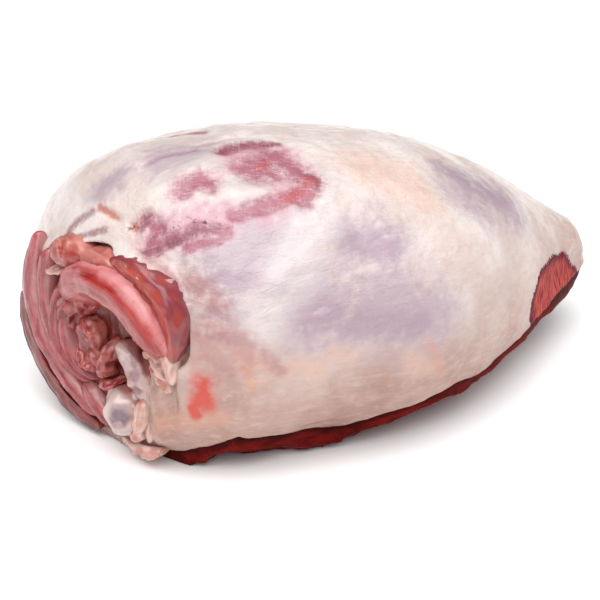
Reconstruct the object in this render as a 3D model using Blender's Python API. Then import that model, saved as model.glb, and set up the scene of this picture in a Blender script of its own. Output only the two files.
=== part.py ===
"""A raw leg of lamb, short cut: the thigh with its hip end cut across and its shank cut off.

Metres, +Z up. X runs along the leg from the hip cut (-X) to the shank end (+X). The origin is
on the table, under the middle of the leg's box. Run with blender --background --python part.py
"""

from math import acos, atan2, cos, pi, radians, sin, sqrt, tan

import bpy
from mathutils import Vector

MM = 0.001  # the sizes below are in millimetres

# ---- The leg's outline at the places where a butcher would name it ----
# place: (x, far side y, near side y, top z, belly z); a belly under 0 is pressed flat by the table.
STATIONS = {
    "hip_cut": (-103, 32, -43, 80, 5),
    "rump": (-79, 64, -59, 107, -3),
    "thigh": (-47, 69, -65, 113, -4),
    "mid_thigh": (-9, 65, -69, 109, -5),
    "above_knee": (31, 50, -65, 99, 0),
    "knee": (71, 28, -49, 77, 9),
    "shank": (101, 10, -34, 51, 18),
}
WIDEST_SHARE = 0.42  # height of a section's widest line, as a share of its height
SECTION_POWER = 2.1  # 2 is an ellipse, more is squarer
TABLE_BLEND = 4  # height over which the belly curves into its flat
HIP_SHARE = 0.55  # share of the leg's length that leans with the hip cut; the rest turns with the shank

# ---- The two ends and their cuts ----
HIP_CUT_TURN = radians(20)  # the hip cut faces -X, turned towards -Y
SHANK_TURN = radians(30)  # the shank end points along +X, turned towards -Y
HIP_MIDDLE = (-6, 47)  # y and z of the middle of the hip cut
HIP_ROUNDING = 8
HIP_RECESS = 5  # how far below the fat's lip the middle of the cut lies
SHANK_NOSE = 16  # depth of the round that closes the shank, of which the last part is used
NOSE_START = radians(17)  # where on that round the shank's last section joins it
SHANK_CUT_AT = (91, -29, 37)
SHANK_CUT_OUT = (0.55, -0.83, 0.0)  # the way the shank cut faces

# ---- How finely the leg is divided ----
AROUND = 60
HIP_RINGS = 7
ROUNDING_RINGS = 4
BODY_RINGS = 26
SHANK_RINGS = 5
FIRST_BODY_RING = 0.035  # as a share of the leg's length, clear of the hip cut's rounding
BELLY_SIDES = 15
BONE_SIDES = 16
BALL_SIDES = 24
BALL_RINGS = 14

# ---- Muscle ends that stand out of the hip cut ----
# Each runs through three points (across towards -Y, up) on the cut, from its middle;
# then its half width and how far it stands out of the recess.
MUSCLE_ENDS = {
    "eye_muscle": ((-22, 8), (5, 27), (35, 9), 10, 14),
    "rim_muscle": ((2, 34), (31, 33), (39, 3), 6.5, 8),
    "top_muscle": ((-29, 22), (-14, 31), (4, 31), 7, 8),
    "far_slab": ((-30, 30), (-35, -3), (-6, -35), 8.5, 6),
    "inner_slab": ((-22, 11), (-22, -10), (0, -27), 5.5, 9),
    "core_fold_a": ((-12, 8), (-11, -9), (1, -17), 4.5, 9),
    "core_fold_b": ((4, 14), (7, 1), (8, -13), 4, 7),
    "fat_fold": ((32, -2), (34, -17), (30, -34), 5, 8),
}
MUSCLE_SUNK = 11  # how far a muscle end reaches into the leg behind the recess
MUSCLE_BLUNTNESS = 2.6  # 2 tapers a muscle end like an ellipse, more keeps it wide

# ---- Thigh bone: places on the hip cut are (across, up, out from the recess) ----
BALL_AT = (13, -27, 1.5)
BALL_RADIUS = 10.5
TROCHANTER = ((10, 2), (18, -7), (27, -18), 6.5, 7)  # the ridge beside the ball, like a muscle end
SHAFT_START = (20, -10, -7)
NECK_END = (24, -11, -27)
NECK_RADIUS = 7.5
KNEE_AT = (47, -12, 44)
SHAFT_RADIUS = 8.5
KNEE_RADIUS = 13
KNEE_WIDENS = (0.6, 0.9)  # shares of the shaft's length between which it widens to the knee
BONE_END_POWER = 0.4  # 1 rounds a bone's ends like a ball, less makes them blunter
BONE_GAP = 0.3
CUTTER_SIZE = 90


def smooth_between(points, t):
    """The tuple at t (0 to 1) on a Catmull-Rom curve through evenly spaced tuples."""
    last = len(points) - 1
    i = min(int(t * last), last - 1)
    f = t * last - i
    a, b, c, d = (points[min(max(i + k, 0), last)] for k in (-1, 0, 1, 2))
    return [
        (2 * q + (r - p) * f + (2 * p - 5 * q + 4 * r - s) * f**2 + (3 * q - p - 3 * r + s) * f**3) / 2
        for p, q, r, s in zip(a, b, c, d)
    ]


def on_table(z):
    """Presses what would be below the table flat at z = 0, with a smooth start."""
    if z >= TABLE_BLEND:
        return z
    if z <= -TABLE_BLEND:
        return 0.0
    return (z + TABLE_BLEND) ** 2 / (4 * TABLE_BLEND)


def powered(value, power):
    """value raised to a power, keeping its sign."""
    return abs(value) ** power * (1 if value > 0 else -1)


HIP_ORIGIN = Vector((STATIONS["hip_cut"][0], *HIP_MIDDLE))
HIP_OUT = Vector((-cos(HIP_CUT_TURN), -sin(HIP_CUT_TURN), 0))
HIP_ACROSS = Vector((sin(HIP_CUT_TURN), -cos(HIP_CUT_TURN), 0))
HIP_UP = Vector((0, 0, 1))
SHANK_X, *SHANK_SIDES = STATIONS["shank"]
SHANK_MIDDLE = Vector((SHANK_X, sum(SHANK_SIDES[:2]) / 2, sum(SHANK_SIDES[2:]) / 2))
SHANK_OUT = Vector((cos(SHANK_TURN), -sin(SHANK_TURN), 0))


def section_point(angle, t, inset=0):
    """A point of the leg's side: angle round it from +Y over the top, t along the leg."""
    x, far, near, top, belly = smooth_between(list(STATIONS.values()), t)
    middle_y, middle_z = (far + near) / 2, belly + WIDEST_SHARE * (top - belly)
    y = (far - near) / 2 * powered(cos(angle), 2 / SECTION_POWER)
    z = (top - middle_z if angle > 0 else middle_z - belly) * powered(sin(angle), 2 / SECTION_POWER)
    keep = 1 - inset / sqrt(y * y + z * z)
    y, z = middle_y + y * keep, middle_z + z * keep
    toward_hip = max(0, 1 - t / HIP_SHARE)
    toward_shank = max(0, (t - HIP_SHARE) / (1 - HIP_SHARE))
    x += toward_hip * (HIP_ORIGIN.y - y) * tan(HIP_CUT_TURN)
    x += toward_shank**2 * (y - SHANK_MIDDLE.y) * tan(SHANK_TURN)
    return Vector((x, y, z))


def on_hip_cut(across, up, out):
    """A point given on the hip cut: across it towards -Y, up, and out from the recess."""
    return HIP_ORIGIN + HIP_ACROSS * across + HIP_UP * up + HIP_OUT * (out - HIP_RECESS)


def eased(share):
    """0 up to a share of 0 and 1 from a share of 1, with a smooth rise between them."""
    share = min(max(share, 0), 1)
    return share * share * (3 - 2 * share)


def hip_face(angle, share):
    """A point of the hip cut's sunken meat: share 0 at its middle, 1 inside the fat's lip."""
    rim = section_point(angle, 0, HIP_ROUNDING)
    sunk = HIP_RECESS * (1 - share**4)
    return HIP_ORIGIN + (rim - HIP_ORIGIN) * share - HIP_OUT * sunk


def hip_lip(angle, turn):
    """A point of the fat's rounded lip round the hip cut: turn 0 inside it, a right angle outside."""
    back = HIP_OUT * HIP_ROUNDING * (1 - cos(turn))
    return section_point(angle, 0, HIP_ROUNDING * (1 - sin(turn))) - back


def shank_nose(angle, turn):
    """A point of the shank's blunt end: turn NOSE_START at its last section, a right angle at its tip."""
    rim = section_point(angle, 1)
    share = cos(turn) / cos(NOSE_START)
    reach = SHANK_NOSE * (sin(turn) - sin(NOSE_START))
    return SHANK_MIDDLE + (rim - SHANK_MIDDLE) * share + SHANK_OUT * reach


def leg_rings():
    """The leg's rings from the middle of the hip cut to the shank's tip: shape and its value."""
    rings = [(hip_face, i / HIP_RINGS) for i in range(HIP_RINGS)]
    rings += [(hip_lip, pi / 2 * i / ROUNDING_RINGS) for i in range(ROUNDING_RINGS)]
    body_step = (1 - FIRST_BODY_RING) / BODY_RINGS
    rings += [(section_point, FIRST_BODY_RING + body_step * i) for i in range(BODY_RINGS)]
    nose_step = (pi / 2 - NOSE_START) / SHANK_RINGS
    rings += [(shank_nose, NOSE_START + nose_step * i) for i in range(SHANK_RINGS + 1)]
    return rings


def sphere_object(name, segments, rings, place, collection):
    """A UV sphere whose vertices place(ring, angle) moves; ring 0 is its first pole."""
    bpy.ops.mesh.primitive_uv_sphere_add(segments=segments, ring_count=rings, radius=1)
    made = bpy.context.active_object
    made.name = made.data.name = name
    for vertex in made.data.vertices:
        x, y, z = vertex.co
        ring = round(acos(max(-1, min(1, z))) / pi * rings)
        vertex.co = place(ring, atan2(y, x)) * MM
    made.data.shade_smooth()
    for owner in made.users_collection:
        owner.objects.unlink(made)
    collection.objects.link(made)
    return made


def make_leg_body(collection):
    """The leg with both ends rounded, before its muscle ends, shank cut and bone space."""
    rings = leg_rings()

    def place(ring, angle):
        shape, value = rings[len(rings) - 1 - ring]
        point = shape(angle, value)
        return Vector((point.x, point.y, on_table(point.z)))

    return sphere_object("leg", AROUND, len(rings) - 1, place, collection)


def through(points, share):
    """The point at share (-1 to 1) of the parabola through three points."""
    first, middle, last = (Vector(p) for p in points)
    return middle + (last - first) * share / 2 + ((first + last) / 2 - middle) * share**2


def make_belly(name, points, half_width, proud, collection, gap=0.0):
    """A muscle end on the hip cut: a spindle along three points, flattened into the cut."""

    def place(ring, angle):
        share = -cos(pi * ring / BELLY_SIDES)
        thickness = max(0, 1 - abs(share) ** MUSCLE_BLUNTNESS) ** (1 / MUSCLE_BLUNTNESS)
        at = through(points, share)
        step = through(points, share + 0.01) - through(points, share - 0.01)
        side = Vector((step.y, -step.x)).normalized()
        wide = (half_width + gap) * thickness * cos(angle)
        deep = ((proud if sin(angle) > 0 else MUSCLE_SUNK) + gap) * thickness * sin(angle)
        return on_hip_cut(at.x + side.x * wide, at.y + side.y * wide, deep)

    return sphere_object(name, BELLY_SIDES, BELLY_SIDES, place, collection)


def make_ball(name, middle, radius, collection):
    """The round head of the thigh bone."""

    def place(ring, angle):
        polar = pi * ring / BALL_RINGS
        return middle + radius * Vector((sin(polar) * cos(angle), sin(polar) * sin(angle), cos(polar)))

    return sphere_object(name, BALL_SIDES, BALL_RINGS, place, collection)


def make_limb(name, start, end, radius, end_radius, collection):
    """A length of bone between two points, blunt at both ends and widening to end_radius."""
    along = (end - start).normalized()
    side = along.cross(HIP_UP).normalized()
    over = side.cross(along)
    widens_from, widens_to = KNEE_WIDENS

    def place(ring, angle):
        share = (1 - cos(pi * ring / BELLY_SIDES)) / 2
        wide = radius + (end_radius - radius) * eased((share - widens_from) / (widens_to - widens_from))
        wide *= max(0, share * (1 - share) * 4) ** (BONE_END_POWER / 2)
        return start.lerp(end, share) + (side * cos(angle) + over * sin(angle)) * wide

    return sphere_object(name, BONE_SIDES, BELLY_SIDES, place, collection)


def make_shank_cutter(collection):
    """A block whose near face is the plane of the shank cut."""
    bpy.ops.mesh.primitive_cube_add(size=1)
    block = bpy.context.active_object
    block.name = block.data.name = "shank_cutter"
    turn = Vector((0, 0, 1)).rotation_difference(Vector(SHANK_CUT_OUT))
    for vertex in block.data.vertices:
        x, y, z = vertex.co * CUTTER_SIZE
        vertex.co = (Vector(SHANK_CUT_AT) + turn @ Vector((x, y, z + CUTTER_SIZE / 2))) * MM
    for owner in block.users_collection:
        owner.objects.unlink(block)
    collection.objects.link(block)
    return block


def make_collection(name):
    """A new collection in the scene."""
    made = bpy.data.collections.new(name)
    bpy.context.scene.collection.children.link(made)
    return made


def join(target, other, operation):
    """Adds one shape to another, or cuts it away."""
    modifier = target.modifiers.new(f"{operation.lower()}_{other.name}", "BOOLEAN")
    modifier.operation = operation
    modifier.solver = "EXACT"
    modifier.object = other


def make_bone_pieces(prefix, gap, collection):
    """The thigh bone's ball, neck, ridge and shaft, as closed shapes that overlap."""
    ball_at, shaft_start, neck_end = (on_hip_cut(*at) for at in (BALL_AT, SHAFT_START, NECK_END))
    knee_at = Vector(KNEE_AT)
    ball, neck, shaft, knee = (size + gap for size in (BALL_RADIUS, NECK_RADIUS, SHAFT_RADIUS, KNEE_RADIUS))
    *points, half_width, proud = TROCHANTER
    return (
        make_ball(prefix + "ball", ball_at, ball, collection),
        make_limb(prefix + "shaft", shaft_start, knee_at, shaft, knee, collection),
        make_limb(prefix + "neck", ball_at, neck_end, neck, neck, collection),
        make_belly(prefix + "ridge", points, half_width, proud, collection, gap),
    )


def make_material(name, colour, roughness):
    """A plain finish of one colour."""
    material = bpy.data.materials.new(name)
    material.use_nodes = True
    shader = material.node_tree.nodes["Principled BSDF"]
    shader.inputs["Base Color"].default_value = (*colour, 1)
    shader.inputs["Roughness"].default_value = roughness
    return material


def main():
    """Clears the scene and makes the leg and its bone."""
    for old in list(bpy.data.objects):
        bpy.data.objects.remove(old, do_unlink=True)
    parts = make_collection("leg_of_lamb")
    helpers = make_collection("helpers")

    leg = make_leg_body(parts)
    leg.data.materials.append(make_material("fat_and_meat", (0.80, 0.62, 0.58), 0.4))
    for name, (*points, half_width, proud) in MUSCLE_ENDS.items():
        join(leg, make_belly(name, points, half_width, proud, helpers), "UNION")
    join(leg, make_shank_cutter(helpers), "DIFFERENCE")
    for piece in make_bone_pieces("bone_space_", BONE_GAP, helpers):
        join(leg, piece, "DIFFERENCE")

    bone, *others = make_bone_pieces("bone_", 0.0, helpers)
    bone.name = bone.data.name = "thigh_bone"
    helpers.objects.unlink(bone)
    parts.objects.link(bone)
    bone.data.materials.append(make_material("bone", (0.80, 0.76, 0.72), 0.35))
    for piece in others:
        join(bone, piece, "UNION")

    for helper in helpers.objects:
        helper.hide_render = True
        helper.display_type = "WIRE"


main()
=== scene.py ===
import math
import bpy
import numpy as np
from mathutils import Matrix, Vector, noise
from mathutils.bvhtree import BVHTree


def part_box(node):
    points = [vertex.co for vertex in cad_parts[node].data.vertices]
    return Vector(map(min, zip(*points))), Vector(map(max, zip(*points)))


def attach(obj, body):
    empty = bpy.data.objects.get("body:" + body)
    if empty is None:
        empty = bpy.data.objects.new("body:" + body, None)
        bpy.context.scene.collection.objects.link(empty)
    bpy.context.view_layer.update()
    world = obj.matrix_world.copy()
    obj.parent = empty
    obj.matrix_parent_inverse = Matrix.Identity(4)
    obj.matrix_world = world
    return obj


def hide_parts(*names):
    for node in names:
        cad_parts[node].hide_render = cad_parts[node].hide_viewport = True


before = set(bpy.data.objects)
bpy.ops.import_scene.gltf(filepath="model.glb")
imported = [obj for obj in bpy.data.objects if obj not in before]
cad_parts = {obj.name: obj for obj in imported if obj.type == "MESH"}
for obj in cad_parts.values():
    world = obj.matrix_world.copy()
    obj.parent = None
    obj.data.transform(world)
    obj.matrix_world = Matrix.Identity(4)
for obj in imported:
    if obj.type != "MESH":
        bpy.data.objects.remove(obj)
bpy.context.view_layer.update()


# ---- Camera -------------------------------------------------------------------------------
# A long lens looks a little down on the near side of the leg, from the hip end's side, so
# that the cut at the hip faces it.

leg_low, leg_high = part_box("leg")
CAMERA_AZIMUTH = math.radians(-27)
CAMERA_HEIGHT = math.radians(30)
CAMERA_AWAY = 0.766
camera_out = Vector((
    math.sin(CAMERA_AZIMUTH) * math.cos(CAMERA_HEIGHT),
    -math.cos(CAMERA_AZIMUTH) * math.cos(CAMERA_HEIGHT),
    math.sin(CAMERA_HEIGHT),
))
camera_data = bpy.data.cameras.new("camera")
camera_data.lens = 112
camera_data.sensor_width = 36
camera = bpy.data.objects.new("camera", camera_data)
camera.location = (leg_low + leg_high) / 2 + Vector((-0.0038, 0.0188, -0.0306)) + camera_out * CAMERA_AWAY
camera.rotation_euler = camera_out.to_track_quat("Z", "Y").to_euler()
bpy.context.scene.collection.objects.link(camera)
bpy.context.scene.camera = camera


# ---- Skin of the leg ----------------------------------------------------------------------
# The whole muscle of the leg under its fat cover. The fat is thick and cream below and on the
# shank, thin enough to show lilac over the thigh, and torn off in four places on the upper
# thigh, where the lean shows. The two cuts belong to the same piece.

MM = 0.001
SKIN_VOXEL = 1.1 * MM
AXIS_HEIGHT = 50


def paint(red, green, blue):
    """A node colour from the 0 to 255 values of a screen colour."""
    shares = [part / 255 for part in (red, green, blue)]
    return (*[part / 12.92 if part < 0.04 else ((part + 0.055) / 1.055) ** 2.4 for part in shares], 1.0)


def eased(low, high, values):
    """0 below low and 1 above high, with a smooth rise between them."""
    share = np.clip((values - low) / (high - low), 0, 1)
    return share * share * (3 - 2 * share)


def lumps(places, size, seed):
    """Smooth noise from about -1 to 1, with lumps about size mm across."""
    spots = (np.asarray(places) / size + 7.31 * seed).tolist()
    return np.array([noise.noise(spot) for spot in spots])


def away_from(places, line):
    """The distance in mm of each place from a line of points."""
    least = np.full(len(places), 1e9)
    for start, end in zip(line, line[1:]):
        run = end - start
        share = np.clip((places - start) @ run / max(run @ run, 1e-9), 0, 1)
        least = np.minimum(least, np.linalg.norm(places - start - share[:, None] * run, axis=1))
    return least


def only(piece):
    """Selects one object and nothing else."""
    bpy.ops.object.select_all(action="DESELECT")
    piece.select_set(True)
    bpy.context.view_layer.objects.active = piece


def copied(node, name):
    """A new piece with the shape of a CAD node, its loose triangles merged."""
    piece = bpy.data.objects.new(name, node.data.copy())
    bpy.context.scene.collection.objects.link(piece)
    only(piece)
    bpy.ops.object.mode_set(mode="EDIT")
    bpy.ops.mesh.select_all(action="SELECT")
    bpy.ops.mesh.remove_doubles(threshold=1e-6)
    bpy.ops.object.mode_set(mode="OBJECT")
    return piece


def finished(piece, kind, **settings):
    """Adds a modifier to a piece and applies it."""
    only(piece)
    modifier = piece.modifiers.new(kind.lower(), kind)
    for name, value in settings.items():
        setattr(modifier, name, value)
    bpy.ops.object.modifier_apply(modifier=modifier.name)


def places_of(piece):
    """Vertex places in mm and their outward normals."""
    count = len(piece.data.vertices)
    places = np.empty(count * 3)
    normals = np.empty(count * 3)
    piece.data.vertices.foreach_get("co", places)
    piece.data.vertices.foreach_get("normal", normals)
    return places.reshape(-1, 3) / MM, normals.reshape(-1, 3)


def move_to(piece, places):
    """Puts a piece's vertices at new places in mm."""
    piece.data.vertices.foreach_set("co", (places * MM).ravel())
    piece.data.update()


def note(piece, name, values):
    """Keeps a value or a vector for each vertex, for the material to read."""
    flat = np.asarray(values, dtype=float)
    kind, field = ("FLOAT", "value") if flat.ndim == 1 else ("FLOAT_VECTOR", "vector")
    piece.data.attributes.new(name, kind, "POINT").data.foreach_set(field, flat.ravel())


cad_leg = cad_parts["leg"]
leg_surface = BVHTree.FromPolygons(
    [vertex.co for vertex in cad_leg.data.vertices], [face.vertices for face in cad_leg.data.polygons])


def on_skin(along, angle):
    """The skin at along mm and an angle round the leg: 0 is the near side and 90 the top."""
    turn = math.radians(angle)
    out = Vector((0, -math.cos(turn), math.sin(turn)))
    start = Vector((along, 0, AXIS_HEIGHT)) * MM + out * 0.3
    return np.array(leg_surface.ray_cast(start, -out)[0]) / MM


def brushed(places, strokes):
    """1 along the middle of brush strokes on the skin, a half at their edges and 0 well off them."""
    best = np.zeros(len(places))
    for half_width, *points in strokes:
        line = [on_skin(*point) for point in (points if len(points) > 1 else points * 2)]
        best = np.maximum(best, 1 - 0.5 * away_from(places, line) / half_width)
    return best.clip(0, 1)


# The hip cut has its own directions: across towards the near side, up, and out of the cut.
HIP_TURN = math.radians(20)
HIP_MIDDLE = np.array([leg_high.x / MM - 219.1, leg_low.y / MM + 63, leg_low.z / MM + 47])
HIP_OUT = np.array([-math.cos(HIP_TURN), -math.sin(HIP_TURN), 0])
HIP_ACROSS = np.array([math.sin(HIP_TURN), -math.cos(HIP_TURN), 0])
HIP_RECESS = 7
# Across and up along the groove between the rim muscle and the rest of the cut.
RIM_GROOVE = [(-18, 27), (4, 31), (18, 31), (29, 27), (35, 19), (36, 11)]


def hip_parts(places):
    """How far places are across, up and out of the hip cut, in mm."""
    away = places - HIP_MIDDLE
    return away @ HIP_ACROSS, away[:, 2], away @ HIP_OUT + HIP_RECESS


# What is bare or shows through the fat, from the lowest layer up: a name, its colour, how strongly it
# covers, and its brush strokes. A stroke is a half width in mm, then points as along and angle.
TINTS = [
    ("veil", (168, 148, 159), 0.82, [
        (24, (-62, 44), (-46, 40)), (17, (-40, 20), (-14, 18), (0, 10)), (13, (-22, 38), (-8, 36)),
        (13, (40, 52), (60, 44)), (12, (-68, 90), (-60, 88)), (6, (-92, 104), (-84, 97))]),
    ("deep_veil", (152, 124, 142), 0.45, [
        (5, (-44, 18), (-32, 17)), (5, (-26, 13), (-12, 10), (0, 8)), (3, (-62, 34), (-50, 29)),
        (5, (-20, 38), (-8, 34)), (2, (-82, 28), (-72, 24), (-64, 22)), (1.6, (-84, 20), (-72, 16), (-62, 12)),
        (2.5, (-70, 37), (-63, 35), (-56, 34)), (5, (36, 66), (46, 55), (58, 46))]),
    ("peach", (208, 168, 148), 0.5, [
        (11, (2, 66), (12, 58)), (5, (12, 54), (19, 50), (18, 46)), (4, (-4, -3), (2, -8)),
        (3.5, (-66, 8), (-60, 2), (-62, -4)), (4, (-48, 2), (-40, 0)), (3, (-34, 4), (-28, 2))]),
    ("blush", (206, 138, 110), 0.35, [
        (2.4, (4, 0), (9, -8), (12, -15)), (4, (-92, -30), (-84, -24), (-74, -20)), (2, (-66, 2), (-64, -6))]),
    ("flush", (190, 132, 146), 0.6, [
        (8, (-46, 80), (-38, 80), (-30, 76)), (7, (-27, 66), (-36, 60), (-46, 57)),
        (7, (-84, 66), (-74, 60), (-62, 58)), (6, (-70, 75), (-62, 74))]),
    ("ridge", (214, 206, 204), 0.5, [
        (9, (-23, 58), (-29, 46), (-40, 37), (-48, 29), (-58, 20))]),
    ("cream_band", (206, 198, 190), 0.6, [
        (5, (-84, 80), (-76, 79), (-66, 80), (-55, 83)), (4, (-56, 68), (-50, 64), (-44, 63))]),
    ("slot", (160, 132, 144), 0.75, [
        (1.4, (-76, 93), (-70, 93.5), (-64, 92.5), (-56, 92)), (1.0, (-56, 95), (-48, 94))]),
    ("bare_pink", (158, 88, 104), 0.92, [
        (3.0, (-48, 86), (-40, 87), (-31, 85)), (5.5, (-44, 75), (-38, 76), (-37, 71), (-43, 71)),
        (5.0, (-31, 79), (-28, 72), (-27, 66)), (4.0, (-25, 65), (-25, 60), (-31, 56)),
        (3.2, (-28, 60), (-36, 58), (-47, 57)), (3.4, (-84, 72), (-82, 65), (-87, 59)),
        (2.8, (-87, 58), (-80, 58), (-71, 57), (-63, 52)), (4, (-70, 74), (-63, 76), (-61, 71)),
        (3, (-57, 57), (-48, 57)), (2, (-76, 52), (-66, 50))]),
    ("bare_purple", (124, 62, 76), 0.7, [
        (1.7, (-50, 86), (-46, 88), (-39, 89), (-32, 88), (-27, 84)), (1.8, (-61, 112.5), (-53, 111), (-46, 105)),
        (1.6, (-84, 73), (-86, 70)), (1.8, (-80, 57), (-72, 57), (-65, 55)), (1.5, (-88, 60), (-84, 57)),
        (1.6, (-104, 112), (-100, 106), (-96, 99)), (1.2, (-103, 101), (-99, 92), (-95, 84)),
        (1.0, (-24, 66), (-22, 62), (-24, 58))]),
    ("bare_red", (176, 72, 74), 0.6, [
        (2.6, (-25, 63), (-29, 59), (-36, 58)), (1.2, (-55, 110.5), (-48, 107)), (2, (-40, 73), (-36, 75))]),
    ("nick", (176, 92, 66), 0.8, [
        (1.3, (-94, 97), (-92.5, 90), (-91, 83)), (1.6, (-88.5, 75), (-88, 73))]),
    ("blood", (194, 56, 36), 0.95, [(4.4, (-79, -4), (-79, -13)), (2, (-82, -16), (-81, -20))]),
    ("hip_blush", (160, 96, 92), 0.55, [
        (7, (-84, 24), (-78, 12), (-72, 4)), (6, (-74, 20), (-64, 8)), (5, (-78, 40), (-72, 28)),
        (4, (-88, 52), (-84, 38)), (3, (-60, 8), (-54, 2))]),
]
SPECK_STROKES = [(3, (-77, 60), (-71, 58.5), (-67, 57)), (1.6, (-89, 75), (-88, 73))]
WET_STROKES = [
    (12, (30, 29), (44, 26), (58, 12)), (13, (-82, 30), (-74, 16), (-62, 4)), (14, (-42, 16), (-6, 10)),
    (8, (-20, 50), (-6, 46)), (8, (56, 50), (66, 36)), (9, (-40, 95), (-10, 85)),
]
# Height in mm of the lower edge of the fat along the leg. Below it the lean is bare.
FAT_EDGE_ALONG = (-100, -84, -66, -50, -28, -10, 20, 40, 70, 100)
FAT_EDGE_HEIGHT = (1, 6, 19, 17, 12, 18, 24, 25, 29, 30)
# The lean under it is set back, and shows so far down before it curves in under the leg.
LEAN_SET_BACK = 2.5
LEAN_SHOWS = 7
LEAN_TUCK = 2.2
SHANK_CUT_AT = np.array([leg_high.x / MM - 25, leg_low.y / MM + 40, leg_low.z / MM + 37])
SHANK_CUT_OUT = np.array([0.552, -0.834, 0.0])
# Height in mm of the fat's edge over the lean of the shank cut.
SHANK_EDGE_ALONG = (62, 68, 72, 84, 94, 107)
SHANK_EDGE_HEIGHT = (34, 45, 51, 51, 46, 30)

skin = copied(cad_leg, "leg_skin")
finished(skin, "REMESH", mode="VOXEL", voxel_size=SKIN_VOXEL, use_smooth_shade=True)
finished(skin, "SMOOTH", factor=0.6, iterations=10)

places, normals = places_of(skin)
across, up, out = hip_parts(places)
ragged = 0.30 * lumps(places, 6, 4) + 0.16 * lumps(places, 2.6, 5)
cut_top = np.interp(places[:, 0], SHANK_EDGE_ALONG, SHANK_EDGE_HEIGHT) + 3 * ragged
inside = np.minimum(cut_top - places[:, 2], places[:, 0] - 64 + 3 * ragged)
shank_cut = (1 - eased(0.6, 2.2, np.abs((places - SHANK_CUT_AT) @ SHANK_CUT_OUT))) * eased(0, 0.8, inside)
tints = {name: brushed(places, strokes) for name, colour, strength, strokes in TINTS}
edge = np.interp(places[:, 0], FAT_EDGE_ALONG, FAT_EDGE_HEIGHT) + 1.2 * lumps(places, 9, 11) + 2 * ragged
below = edge - places[:, 2]
underside = eased(-0.4, 0.8, below)
pressed = eased(0.80, 0.92, -normals[:, 2]) * (1 - eased(9, 14, places[:, 2]))
lip = eased(-5, -1, below) * (1 - eased(-0.5, 0.5, below))
# Where the fat is wrinkled; the material reads the name wet to paint highlights and shade on the wrinkles.
wet = brushed(places, WET_STROKES)
along_lines = places * np.array([0.35, 1.0, 1.0])
rise = 1.3 * lumps(places, 34, 1) + 0.8 * lumps(places, 14, 2) + 0.3 * lumps(places, 5, 3)
rise += 1.0 * eased(0.3, 1, tints["ridge"]) + 0.8 * eased(0.3, 1, tints["cream_band"])
rise += wet * (0.9 * np.abs(lumps(along_lines, 5.5, 6)) + 0.35 * lumps(along_lines, 2.6, 7))
rise -= 0.8 * eased(0.35, 0.65, tints["bare_pink"] + 0.5 * ragged) + 0.7 * tints["slot"] + 1.2 * tints["nick"]
rise += 0.6 * lip
rise *= eased(0, 5, places[:, 2])
in_face = 1 - eased(0.88, 1.02, np.hypot(across / 41, (up + 4) / 39))
in_face *= eased(-1, 0.5, out) * (1 - eased(16, 30, across) * (1 - eased(-10, 2, up)))
flattened = in_face * (out - 1 - 0.5 * lumps(places, 5, 8)).clip(0)
on_face = np.stack([across, up], axis=1)
from_groove = away_from(on_face, np.array(RIM_GROOVE, dtype=float))
by_rim = (1 - eased(7.5, 9.5, from_groove)) * eased(-12, -9, out)
flattened = np.maximum(flattened, by_rim * (out + 3).clip(0))
in_cut = np.maximum(in_face, eased(3.5, 5, out) * eased(-20, -12, up) * (1 - eased(4, 16, up)))
in_cut *= 1 - eased(18, 26, across - 0.6 * up)
by_rim_colour = (1 - eased(8.5, 10, from_groove)) * eased(-14, -11, out)
in_cut = np.maximum(in_cut, by_rim_colour * eased(9, 15, up) * eased(0, 6, across))
moved = places + normals * (rise * (1 - in_face))[:, None] - HIP_OUT * flattened[:, None]
moved[:, 2] += pressed * (0.4 - moved[:, 2]).clip(None, 0)
stations = np.linspace(-95, 95, 39)
near_wall = [leg_surface.ray_cast(Vector((x, -150, np.interp(x, FAT_EDGE_ALONG, FAT_EDGE_HEIGHT))) * MM,
                                  Vector((0, 1, 0)))[0].y / MM for x in stations]
lean_wall = np.interp(places[:, 0], stations, near_wall) + LEAN_SET_BACK
lean_wall += LEAN_TUCK * (below - LEAN_SHOWS).clip(0)
near_foot = (1 - eased(-12, 0, places[:, 1])) * eased(0.3, 2.5, places[:, 2])
near_foot *= eased(-98, -86, places[:, 0]) * (1 - eased(74, 90, places[:, 0]))
moved[:, 1] += eased(0, 0.8, below) * near_foot * (lean_wall - moved[:, 1]) * (1 - in_cut)
move_to(skin, moved)
top_grain = np.array([[0.89, -0.45, 0.1], [0.45, 0.89, 0.0], [0.0, 0.0, 1.0]])
shank_grain = np.array([[0.83, 0.55, 0.0], [0.2, 0.1, 0.97], [0.55, -0.83, 0.0]])
fibre = np.where(places[:, :1] > 40, places @ shank_grain.T, places @ top_grain.T)
tints.update(cut=in_cut, fibre=fibre, under=underside, shank_cut=shank_cut * (1 - underside),
             # The mask that fades down from the fat's edge carries painted shade under the fat's lip.
             shank_rim=1 - eased(1, 6, inside), under_edge=1 - eased(1, 6, below), specks=brushed(places, SPECK_STROKES),
             # The low mask makes the fat darker towards the table, partly as painted shade.
             low=1 - eased(22, 84, places[:, 2] + 6 * lumps(places, 20, 9)))
for name, values in tints.items():
    note(skin, name, values)


def put(tree, kind, inputs=None, **settings):
    """A node with its settings, each input given a value or fed from another node."""
    made = tree.nodes.new(kind)
    for name, value in settings.items():
        setattr(made, name, value)
    for name, value in (inputs or {}).items():
        if isinstance(value, bpy.types.NodeSocket):
            tree.links.new(value, made.inputs[name])
        else:
            made.inputs[name].default_value = value
    return made


def mixed(tree, share, first, second):
    """One colour over another by a share."""
    return put(tree, "ShaderNodeMix", {0: share, 6: first, 7: second}, data_type="RGBA").outputs[2]


def stepped(tree, value, low, high, least=0.0, most=1.0):
    """A smooth step of a value from least to most between low and high."""
    return put(tree, "ShaderNodeMapRange", {"Value": value, "From Min": low, "From Max": high,
               "To Min": least, "To Max": most}, interpolation_type="SMOOTHSTEP").outputs["Result"]


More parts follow.
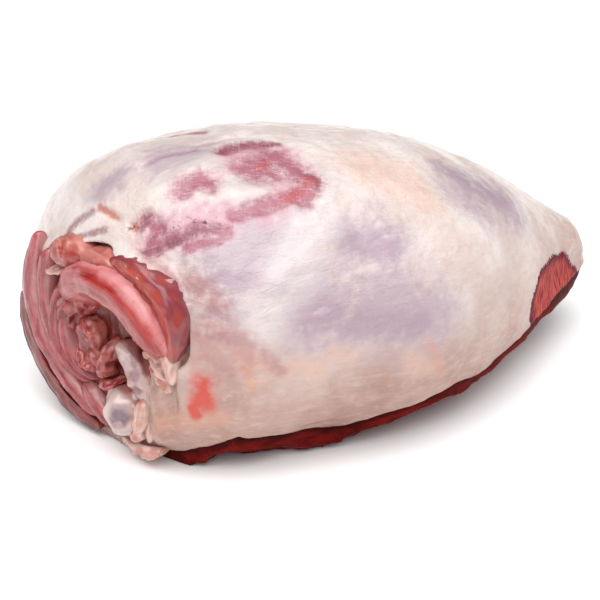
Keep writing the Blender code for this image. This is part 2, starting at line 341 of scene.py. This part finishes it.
def grainy(tree, where, scale, detail=3.0, rough=0.55, stretch=None):
    """Noise with so many lumps a metre, or a mm where the vector is in mm, stretched along some axes."""
    if stretch:
        where = put(tree, "ShaderNodeMapping", {"Vector": where, "Scale": stretch}).outputs[0]
    return put(tree, "ShaderNodeTexNoise", {"Vector": where, "Scale": scale, "Detail": detail,
               "Roughness": rough}).outputs["Fac"]


def added(tree, first, second, factor=1.0):
    """first + second * factor."""
    return put(tree, "ShaderNodeMath", {0: second, 1: factor, 2: first}, operation="MULTIPLY_ADD").outputs[0]


def times(tree, first, second):
    """first * second."""
    return put(tree, "ShaderNodeMath", {0: first, 1: second}, operation="MULTIPLY").outputs[0]


def read(tree, name, output="Fac"):
    """What note() kept on the piece."""
    return put(tree, "ShaderNodeAttribute", attribute_name=name).outputs[output]


def new_material(name):
    """A material with its node tree and its shader."""
    made = bpy.data.materials.new(name)
    made.use_nodes = True
    return made, made.node_tree, made.node_tree.nodes["Principled BSDF"]


def flesh_finish(shader, colour, normal, roughness, scatter, depth, coat, coat_roughness):
    """Feeds the shader of something wet and slightly see-through."""
    tree = shader.id_data
    tree.links.new(colour, shader.inputs["Base Color"])
    tree.links.new(normal, shader.inputs["Normal"])
    for socket, value in (("Roughness", roughness), ("Coat Weight", coat)):
        if isinstance(value, bpy.types.NodeSocket):
            tree.links.new(value, shader.inputs[socket])
        else:
            shader.inputs[socket].default_value = value
    shader.inputs["Subsurface Weight"].default_value = scatter
    shader.inputs["Subsurface Radius"].default_value = (1.0, 0.4, 0.3)
    shader.inputs["Subsurface Scale"].default_value = depth
    shader.inputs["Coat Roughness"].default_value = coat_roughness


skin_material, tree, shader = new_material("fat_over_lean")
where = put(tree, "ShaderNodeTexCoord").outputs["Object"]
fine = grainy(tree, where, 900, 4)
mid = grainy(tree, where, 260, 4)
broad = grainy(tree, where, 55, 4)
lines = grainy(tree, where, 420, 4, 0.6, (0.22, 1.0, 1.0))
centred_mid = added(tree, -0.5, mid)
centred_fine = added(tree, -0.5, fine)
# The fat turns darker and pinker towards the table: partly the lower fat's own pinker tone, partly painted shade.
high_fat = mixed(tree, stepped(tree, broad, 0.35, 0.65), paint(208, 192, 186), paint(222, 211, 207))
low_fat = mixed(tree, stepped(tree, broad, 0.35, 0.65), paint(156, 114, 100), paint(176, 140, 126))
colour = mixed(tree, read(tree, "low"), high_fat, low_fat)
colour = mixed(tree, stepped(tree, mid, 0.5, 0.75, 0, 0.45), colour, paint(200, 164, 152))
colour = mixed(tree, stepped(tree, lines, 0.45, 0.8, 0, 0.3), colour, paint(214, 200, 194))
fibre = read(tree, "fibre", "Vector")
grain = grainy(tree, fibre, 1.0, 4, 0.6, (1.1, 0.16, 0.5))
threads = grainy(tree, fibre, 1.0, 3, 0.6, (0.2, 1.2, 0.5))
patchy = added(tree, added(tree, -0.5, broad), added(tree, -0.5, mid), 0.9)
uneven = added(tree, added(tree, added(tree, -0.5, mid), added(tree, -0.5, fine), 0.35), added(tree, -0.5, grain), 0.5)
bare = 0.0
for name, tint, strength, strokes in TINTS:
    bared = name.startswith("bare")
    edged = times(tree, read(tree, name), added(tree, 1.0, uneven if bared else patchy, 1.6))
    share = stepped(tree, edged, 0.12, 0.9, 0, strength)
    if bared:
        share = times(tree, share, stepped(tree, threads, 0.5, 0.68, 1.0, 0.55))
        bare = added(tree, share, bare)
    colour = mixed(tree, share, colour, paint(*tint))
# Light and dark stripes on the wrinkled fat, where it reads wet, are a painted highlight and painted shade of the
# wrinkles.
stripes = stepped(tree, grainy(tree, where, 420, 2, 0.5, (0.16, 1.0, 1.0)), 0.44, 0.56)
painted_wrinkle_light_and_shade = mixed(tree, stripes, paint(150, 104, 106), paint(226, 210, 204))
colour = mixed(tree, times(tree, read(tree, "wet"), 0.35), colour, painted_wrinkle_light_and_shade)
# Thin dark lines along the wrinkles' furrows are painted shade in the folds; the same furrows also dent the bump.
ripples = grainy(tree, where, 240, 2, 0.5, (0.3, 1.0, 1.0))
off_line = put(tree, "ShaderNodeMath", {0: added(tree, -0.5, ripples)}, operation="ABSOLUTE").outputs[0]
furrows_and_painted_shade = times(tree, added(tree, 0.12, read(tree, "wet")), stepped(tree, off_line, 0.0, 0.035, 1.0, 0.0))
colour = mixed(tree, times(tree, furrows_and_painted_shade, 0.6), colour, paint(132, 86, 90))
speck_share = times(tree, read(tree, "specks"), stepped(tree, grainy(tree, where, 700, 2), 0.58, 0.66))
colour = mixed(tree, speck_share, colour, paint(84, 26, 24))
colour = mixed(tree, read(tree, "shank_cut"), colour, paint(104, 32, 46))
# Where the lean starts under the fat's edge the fat's colour goes nearly black: painted shade under the fat's lip.
colour = mixed(tree, stepped(tree, read(tree, "under"), 0.4, 0.6), colour, paint(40, 3, 2))
colour = mixed(tree, stepped(tree, read(tree, "cut"), 0.3, 0.6), colour, paint(104, 18, 16))
height = added(tree, added(tree, times(tree, fine, 0.25), mid, 0.5), lines, 0.5)
height = added(tree, added(tree, height, times(tree, bare, grain), 0.5), furrows_and_painted_shade, -0.6)
bump = put(tree, "ShaderNodeBump", {"Strength": 0.6, "Distance": 0.0012, "Height": height})
dull = stepped(tree, read(tree, "under"), 0.4, 0.6)
rough = added(tree, stepped(tree, mid, 0.3, 0.7, 0.34, 0.5), dull, 0.4)
shine = stepped(tree, read(tree, "under"), 0.4, 0.6, 0.4, 0.0)
flesh_finish(shader, colour, bump.outputs[0], rough, 0.25, 0.006, shine, 0.2)
skin.data.materials.clear()
skin.data.materials.append(skin_material)

# The bare lean of the shank cut shows its grain. The lean under the fat's edge is dark red, partly its own colour and
# partly painted shade, and nearly black right under the edge, which is painted shade under the fat's lip.
lean_material, tree, shader = new_material("bare_lean")
where = put(tree, "ShaderNodeTexCoord").outputs["Object"]
flecks = grainy(tree, where, 300, 4, 0.6, (0.3, 1.0, 1.0))
# Dark red of the lean under the leg: its own colour, darkened further as painted shade.
deep_red = mixed(tree, stepped(tree, flecks, 0.35, 0.65), paint(78, 6, 4), paint(114, 20, 14))
# Nearly black right under the fat's edge: painted shade under the fat's lip.
colour = mixed(tree, read(tree, "under_edge"), deep_red, paint(48, 3, 3))
grain = grainy(tree, read(tree, "fibre", "Vector"), 1.0, 4, 0.6, (1.1, 0.16, 0.5))
shank_lean = mixed(tree, stepped(tree, grain, 0.35, 0.65), paint(126, 30, 36), paint(198, 90, 82))
shank_lean = mixed(tree, times(tree, read(tree, "shank_rim"), 0.9), shank_lean, paint(92, 22, 40))
colour = mixed(tree, read(tree, "shank_cut"), colour, shank_lean)
bump = put(tree, "ShaderNodeBump", {"Strength": 0.4, "Distance": 0.001, "Height": added(tree, flecks, grain)})
flesh_finish(shader, colour, bump.outputs[0], 0.6, 0.0, 0.003, 0.0, 0.2)
shader.inputs["Specular IOR Level"].default_value = 0.06
skin.data.materials.append(lean_material)
for face in skin.data.polygons:
    face.material_index = int(max(below[face.vertices[0]] - 0.6, shank_cut[face.vertices[0]] - 0.6) > 0)
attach(skin, "root")
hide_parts("leg")


# ---- Muscle ends at the hip cut -----------------------------------------------------------
# Where the leg was cut from the loin, each muscle bulges out of the face as a rounded belly,
# wet and red, with the grain of its fibres showing. Folds of pale fat lie by the bone.

# Name, line of across and up places, half width, how proud it stands, how far it leans to its
# left, and its finish.
MUSCLE_ENDS = [
    ("eye_muscle", [(-17, 8), (-4, 21), (13, 25), (28, 19), (37, 8)], 10.5, 12.5, 0.35, "red"),
    ("rim_under", [(6, 31), (19, 33), (30, 29), (37, 19), (38, 9)], 4.0, 4.0, 0.0, "rim"),
    ("rim_muscle", [(9, 35), (22, 38), (35, 33), (41, 22), (41, 7)], 4.4, 3.5, 0.0, "rim"),
    ("top_muscle", [(-22, 26), (-14, 32), (-4, 32)], 6.0, 5, 0.0, "orange"),
    ("top_strip", [(-9, 30), (3, 34), (16, 35)], 4.0, 4.5, 0.0, "orange"),
    ("top_tag", [(-26, 21), (-20, 22), (-12, 26)], 1.6, 7, 0.0, "fat"),
    ("lower_flap", [(-3, -42), (-20, -38), (-34, -28), (-42, -13), (-43, 4)], 3.6, 0.5, 0.0, "flap"),
    ("far_slab_outer", [(-31, 34), (-37, 8), (-34, -12), (-22, -28), (-5, -37)], 5.0, 4.5, 0.0, "mauve"),
    ("far_slab_inner", [(-25, 29), (-30, 8), (-27, -11), (-12, -26)], 4.4, 6, 0.0, "mauve"),
    ("fold_by_eye", [(-19, 18), (-24, 2), (-22, -13), (-10, -25)], 3.2, 8, 0.0, "mauve"),
    ("fold_inside", [(-15, 12), (-19, -3), (-15, -14), (-4, -21)], 2.8, 8.5, 0.0, "mauve"),
    ("fan_end", [(-17, -4), (-14, 8), (-3, 15)], 6.5, 9, 0.2, "core"),
    ("core_mass", [(-10, 5), (-7, -5), (-1, -17)], 6.0, 7.5, 0.0, "core"),
    ("core_red", [(-8, 4), (-2, 1), (-3, -6)], 2.8, 9.5, 0.0, "core"),
    ("core_curl", [(-12, -7), (-7, -13), (1, -13)], 2.4, 9, 0.0, "core"),
    ("core_lump", [(6, 2), (4, -8), (1, -18)], 3.6, 8.5, 0.0, "core"),
    ("low_slab", [(-14, -26), (-7, -32), (2, -38)], 5.0, 4, 0.0, "mauve"),
    ("fold_over_ball", [(0, -20), (5, -18), (10, -15)], 2.6, 8.5, 0.0, "core"),
    ("fold_by_ball", [(23, -15), (24, -24), (20, -36)], 3.4, 8.5, 0.0, "fat"),
    ("fan_fat_a", [(17, 7), (26, 8), (36, 4)], 3.4, 6, 0.0, "fat"),
    ("fan_fat_b", [(22, 2), (30, 3), (38, -2)], 3.2, 5.5, 0.0, "fat"),
    ("fan_fat_c", [(25, -3), (32, -3), (38, -8)], 3.0, 4.5, 0.0, "fat"),
    ("fat_pillar", [(37, 15), (39, 7), (40, -3)], 2.2, 3.5, 0.0, "fat"),
    ("fat_fold_a", [(25, -9), (27, -20), (27, -34)], 2.8, 4.5, 0.0, "fat"),
    ("fat_fold_low", [(8, -38), (20, -41), (31, -37)], 3.0, 1.5, 0.0, "fat"),
]
MUSCLE_SUNK = 11
MUSCLE_BLUNTNESS = 2.6

# Fibres: streaks along a vector in mm, in two colours, and their height.
fibres = bpy.data.node_groups.new("fibres", "ShaderNodeTree")
for name, kind in (("Vector", "NodeSocketVector"), ("Deep", "NodeSocketColor"), ("Pale", "NodeSocketColor")):
    fibres.interface.new_socket(name=name, in_out="INPUT", socket_type=kind)
for name, kind in (("Color", "NodeSocketColor"), ("Height", "NodeSocketFloat")):
    fibres.interface.new_socket(name=name, in_out="OUTPUT", socket_type=kind)
given = fibres.nodes.new("NodeGroupInput")
strands = grainy(fibres, given.outputs["Vector"], 1.0, 4, 0.55, (0.22, 1.5, 1.0))
bundles = grainy(fibres, given.outputs["Vector"], 1.0, 3, 0.5, (0.07, 0.45, 1.0))
both = added(fibres, times(fibres, strands, 0.45), bundles, 0.55)
put(fibres, "NodeGroupOutput", {
    "Color": mixed(fibres, stepped(fibres, both, 0.36, 0.64), given.outputs["Deep"], given.outputs["Pale"]),
    "Height": both})

# Deep colour, pale colour, colour of its patches, colour of its outer side. The outer colour is partly the skin over
# the muscle and partly painted light: a painted sheen on the red muscles' rims, painted shade on the flap's lower
# edge.
FINISHES = {
    # The pale outer colour of the red finish is a painted sheen over the muscle's skin.
    "red": (paint(138, 22, 20), paint(178, 66, 62), paint(156, 26, 16), paint(206, 136, 138)),
    "rim": (paint(140, 40, 34), paint(182, 84, 76), paint(168, 60, 40), paint(120, 44, 58)),
    "orange": (paint(142, 38, 32), paint(180, 86, 76), paint(152, 48, 34), paint(188, 120, 110)),
    "mauve": (paint(126, 38, 44), paint(180, 92, 96), paint(138, 30, 30), paint(194, 134, 134)),
    "core": (paint(128, 28, 28), paint(186, 96, 92), paint(112, 20, 20), paint(176, 104, 92)),
    # The near-black outer colour of the flap is painted shade along its lower edge.
    "flap": (paint(96, 16, 16), paint(150, 62, 60), paint(112, 34, 32), paint(40, 4, 4)),
    "fat": (paint(184, 132, 120), paint(212, 176, 164), paint(190, 112, 98), paint(214, 186, 176)),
}
# How deeply each finish is crumpled, in mm.
CRUMPLES = {"core": 1.8, "fat": 0.9, "rim": 0.7, "orange": 0.7}


def muscle_finish(look):
    """The wet, streaked material of one kind of cut end."""
    made, tree, shader = new_material("cut_" + look)
    deep, pale, patch, outer = FINISHES[look]
    streaks = put(tree, "ShaderNodeGroup", {}, node_tree=fibres)
    tree.links.new(read(tree, "fibre", "Vector"), streaks.inputs["Vector"])
    streaks.inputs["Deep"].default_value = deep
    streaks.inputs["Pale"].default_value = pale
    where = put(tree, "ShaderNodeTexCoord").outputs["Object"]
    clouds = grainy(tree, where, 110, 4)
    colour = mixed(tree, stepped(tree, clouds, 0.5, 0.7, 0, 0.8), streaks.outputs["Color"], patch)
    # Towards the outer side the colour goes over to the outer colour, which holds the painted sheen and painted shade
    # given above.
    outside = stepped(tree, added(tree, read(tree, "outer"), added(tree, -0.5, clouds), 1.0), 0.5, 1.1, 0, 0.85)
    colour = mixed(tree, outside, colour, outer)
    # The hollows of the crumples take the darker patch colour: painted shade in the creases.
    colour = mixed(tree, times(tree, read(tree, "painted_crease_shade"), 0.7), colour, patch)
    bump = put(tree, "ShaderNodeBump", {"Strength": 0.35, "Distance": 0.001, "Height": streaks.outputs["Height"]})
    rough = stepped(tree, clouds, 0.35, 0.7, 0.26, 0.42)
    flesh_finish(shader, colour, bump.outputs[0], rough, 0.15, 0.003, 0.4, 0.1)
    return made


looks = {look: muscle_finish(look) for look in FINISHES}


def belly(name, line, half_width, proud, lean_over, crumple, number):
    """A spindle that bulges out of the hip cut along a bowed line of across and up places."""
    bends = np.polyfit(np.linspace(-1, 1, len(line)), np.array(line, dtype=float), len(line) - 1)
    bpy.ops.object.select_all(action="DESELECT")
    bpy.ops.mesh.primitive_uv_sphere_add(segments=56, ring_count=72)
    piece = bpy.context.object
    piece.name = name
    ball = places_of(piece)[0] * MM
    angle = np.arctan2(ball[:, 1], ball[:, 0])
    share = ball[:, 2].clip(-1, 1)
    middle = np.stack([np.polyval(bends[:, part], share) for part in (0, 1)], axis=1)
    heading = np.stack([np.polyval(np.polyder(bends[:, part]), share) for part in (0, 1)], axis=1)
    heading /= np.linalg.norm(heading, axis=1)[:, None]
    side = np.stack([-heading[:, 1], heading[:, 0]], axis=1)
    thick = (1 - np.abs(share) ** MUSCLE_BLUNTNESS).clip(0) ** (1 / MUSCLE_BLUNTNESS)
    base = 5.5 * np.hypot(middle[:, 0] / 41, (middle[:, 1] + 4) / 39).clip(0, 1) ** 4
    depth = np.where(np.sin(angle) > 0, proud, MUSCLE_SUNK) * np.sin(angle) * thick
    width = half_width * np.cos(angle) * thick + lean_over * depth.clip(0)
    flat = middle + side * width[:, None]
    move_to(piece, HIP_MIDDLE + flat[:, :1] * HIP_ACROSS + flat[:, 1:] * np.array([0, 0, 1])
            + (depth + base - HIP_RECESS)[:, None] * HIP_OUT)
    only(piece)
    bpy.ops.object.mode_set(mode="EDIT")
    bpy.ops.mesh.select_all(action="SELECT")
    bpy.ops.mesh.normals_make_consistent(inside=False)
    bpy.ops.object.mode_set(mode="OBJECT")
    bpy.ops.object.shade_smooth()
    spots, normals = places_of(piece)
    reach = np.linalg.norm(np.array(line[-1]) - np.array(line[0])) / 2
    fibre = np.stack([share * reach, angle * half_width, np.full(len(share), 9.0 * number)], axis=1)
    grooves = lumps(fibre * np.array([0.22, 1.0, 1.0]), 2.6, 50)
    rise = 0.6 * lumps(spots, 9, 10 + number) + 0.25 * lumps(spots, 3.5, 20 + number) + 0.45 * grooves
    creased = 0.35 - np.abs(lumps(spots * np.array([1.0, 1.0, 0.7]), 4.5, 30 + number)) * 2
    rise += crumple * creased
    spots += normals * (rise * thick)[:, None]
    spots[:, 2] = spots[:, 2].clip(0.3)
    move_to(piece, spots)
    note(piece, "fibre", fibre)
    note(piece, "outer", eased(-0.1, 0.9, np.cos(angle)))
    # The crumples' hollows, for the painted shade in the creases.
    note(piece, "painted_crease_shade", eased(0.0, 0.6, -creased) * min(crumple, 1))
    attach(piece, "root")
    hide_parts("leg")
    return piece


for number, (name, line, half_width, proud, lean_over, look) in enumerate(MUSCLE_ENDS):
    crumple = CRUMPLES.get(look, 0.2)
    belly(name, line, half_width, proud, lean_over, crumple, number).data.materials.append(looks[look])


# ---- Thigh bone ---------------------------------------------------------------------------
# The knob of the thigh bone and the ridge beside its neck stand in the cut, white with
# gristle. The rest of the bone runs on inside the meat to the knee.

bone = copied(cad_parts["thigh_bone"], "thigh_bone_seen")
finished(bone, "REMESH", mode="VOXEL", voxel_size=0.8 * MM, use_smooth_shade=True)
finished(bone, "SMOOTH", factor=0.6, iterations=8)
places, normals = places_of(bone)
across, up, out = hip_parts(places)
from_ball = np.hypot(across - 17, up + 24)
hollow = (1 - eased(1.5, 5.5, from_ball)) * eased(4, 9, out)
ridge_only = eased(9, 13, from_ball)
rise = (1.2 + 0.9 * ridge_only) * lumps(places, 6, 40) + 0.6 * lumps(places, 3, 41) - 2.2 * hollow
ridge_top = (out - 5.2).clip(0) * eased(7, 12, from_ball)
move_to(bone, places + normals * rise[:, None] - HIP_OUT * (0.7 * ridge_top)[:, None])
note(bone, "hollow", hollow)
note(bone, "ring", eased(3.5, 5.5, from_ball) * (1 - eased(8, 10, from_ball)) * eased(0, 3, out))
note(bone, "edge", eased(0.25, 0.9, 1 - normals @ HIP_OUT))

gristle, tree, shader = new_material("gristle")
where = put(tree, "ShaderNodeTexCoord").outputs["Object"]
clouds = grainy(tree, where, 150, 4)
colour = mixed(tree, stepped(tree, clouds, 0.38, 0.62), paint(150, 112, 114), paint(196, 168, 164))
colour = mixed(tree, times(tree, read(tree, "ring"), 0.6), colour, paint(206, 190, 182))
colour = mixed(tree, times(tree, read(tree, "hollow"), 0.8), colour, paint(112, 92, 108))
blood_at = stepped(tree, added(tree, read(tree, "edge"), added(tree, -0.5, clouds), 1.2), 0.5, 1.0, 0, 0.75)
colour = mixed(tree, blood_at, colour, paint(150, 66, 62))
bump = put(tree, "ShaderNodeBump", {"Strength": 0.2, "Distance": 0.0006, "Height": clouds})
flesh_finish(shader, colour, bump.outputs[0], 0.3, 0.2, 0.003, 0.5, 0.1)
bone.data.materials.clear()
bone.data.materials.append(gristle)
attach(bone, "root")
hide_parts("thigh_bone")


# ---- Table and light ----------------------------------------------------------------------
# A plain white table under a bright soft ceiling that is dimmer towards the horizon, so that
# the edge under the leg goes dark.

bpy.ops.object.select_all(action="DESELECT")
bpy.ops.mesh.primitive_plane_add(size=6, location=(0, 0, 0))
table = bpy.context.object
table.name = "table"
table_material, tree, shader = new_material("white_table")
shader.inputs["Base Color"].default_value = (0.95, 0.95, 0.95, 1)
shader.inputs["Roughness"].default_value = 0.9
table.data.materials.append(table_material)

LIGHT_FROM = (-0.15, -0.30, 0.942)
world = bpy.data.worlds.new("soft_box")
world.use_nodes = True
tree = world.node_tree
facing = put(tree, "ShaderNodeVectorMath", {0: put(tree, "ShaderNodeTexCoord").outputs["Generated"], 1: LIGHT_FROM},
             operation="DOT_PRODUCT").outputs["Value"]
glow = added(tree, stepped(tree, facing, 0.0, 0.7, 0.0, 0.25), stepped(tree, facing, 0.62, 1.0, 0.0, 4.2))
sky = tree.nodes["Background"]
sky.inputs["Color"].default_value = (1, 1, 1, 1)
tree.links.new(glow, sky.inputs["Strength"])
bpy.context.scene.world = world
bpy.context.scene.view_settings.view_transform = "Standard"
